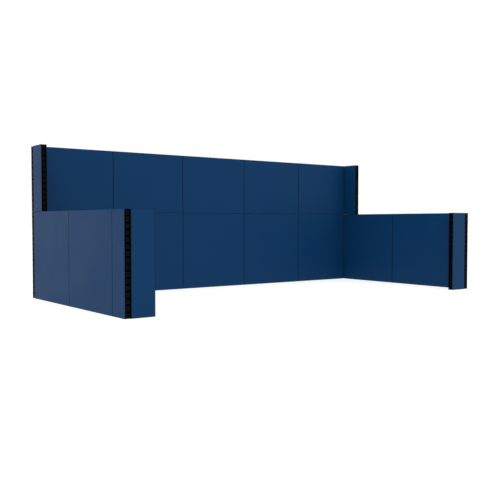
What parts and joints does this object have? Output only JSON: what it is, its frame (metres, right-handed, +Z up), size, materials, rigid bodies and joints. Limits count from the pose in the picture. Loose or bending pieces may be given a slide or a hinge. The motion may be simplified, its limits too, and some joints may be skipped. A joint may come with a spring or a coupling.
{
  "type": "modular partition wall",
  "caption": "U-shaped free-standing partition wall of hollow plastic panels in two tiers, with laddered black edge rails and short returns that brace its open front and upper corners.",
  "frame": {"origin": "on the floor under the middle of the whole plan", "axes": "+Z up, +Y towards the back wall, +X to the right for a visitor facing the back wall"},
  "size_m": [6.0954, 2.8194, 2.1324],
  "materials": {
    "skin": "satin",
    "frame": "satin",
    "core": "matte",
    "spline": "satin",
    "screw": "satin"
  },
  "bodies": {
    "lower_tier": {"back_lower_1_skins": "skin", "back_lower_1_frame": "frame", "back_lower_2_skins": "skin", "back_lower_2_frame": "frame", "back_lower_3_skins": "skin", "back_lower_3_frame": "frame", "back_lower_4_skins": "skin", "back_lower_4_frame": "frame", "back_lower_5_skins": "skin", "back_lower_5_frame": "frame", "left_lower_1_skins": "skin", "left_lower_1_frame": "frame", "left_lower_2_skins": "skin", "left_lower_2_frame": "frame", "left_lower_3_skins": "skin", "left_lower_3_frame": "frame", "right_lower_1_skins": "skin", "right_lower_1_frame": "frame", "right_lower_2_skins": "skin", "right_lower_2_frame": "frame", "right_lower_3_skins": "skin", "right_lower_3_frame": "frame", "left_front_return_skins": "skin", "left_front_return_frame": "frame", "right_front_return_skins": "skin", "right_front_return_frame": "frame", "lower_cores": "core", "back_wall_splines": "spline", "side_wall_splines": "spline", "lower_corner_strips": "spline", "lower_corner_screws": "screw"},
    "back_upper_1": {"back_upper_1_skins": "skin", "back_upper_1_frame": "frame", "back_upper_1_core": "core", "left_upper_corner_strip": "spline", "left_upper_corner_screws": "screw"},
    "back_upper_2": {"back_upper_2_skins": "skin", "back_upper_2_frame": "frame", "back_upper_2_core": "core"},
    "back_upper_3": {"back_upper_3_skins": "skin", "back_upper_3_frame": "frame", "back_upper_3_core": "core"},
    "back_upper_4": {"back_upper_4_skins": "skin", "back_upper_4_frame": "frame", "back_upper_4_core": "core"},
    "back_upper_5": {"back_upper_5_skins": "skin", "back_upper_5_frame": "frame", "back_upper_5_core": "core", "right_upper_corner_strip": "spline", "right_upper_corner_screws": "screw"},
    "left_upper_return": {"left_upper_return_skins": "skin", "left_upper_return_frame": "frame", "left_upper_return_core": "core"},
    "right_upper_return": {"right_upper_return_skins": "skin", "right_upper_return_frame": "frame", "right_upper_return_core": "core"}
  },
  "joints": [
    {"name": "lift_back_upper_1", "type": "slide", "parent": "lower_tier", "child": "back_upper_1", "axis": [0, 0, 1], "range_m": [0, 0.95]},
    {"name": "lift_back_upper_2", "type": "slide", "parent": "lower_tier", "child": "back_upper_2", "axis": [0, 0, 1], "range_m": [0, 0.95]},
    {"name": "lift_back_upper_3", "type": "slide", "parent": "lower_tier", "child": "back_upper_3", "axis": [0, 0, 1], "range_m": [0, 0.95]},
    {"name": "lift_back_upper_4", "type": "slide", "parent": "lower_tier", "child": "back_upper_4", "axis": [0, 0, 1], "range_m": [0, 0.95]},
    {"name": "lift_back_upper_5", "type": "slide", "parent": "lower_tier", "child": "back_upper_5", "axis": [0, 0, 1], "range_m": [0, 0.95]},
    {"name": "lift_left_upper_return", "type": "slide", "parent": "lower_tier", "child": "left_upper_return", "axis": [0, 0, 1], "range_m": [0, 0.95]},
    {"name": "lift_right_upper_return", "type": "slide", "parent": "lower_tier", "child": "right_upper_return", "axis": [0, 0, 1], "range_m": [0, 0.95]}
  ]
}
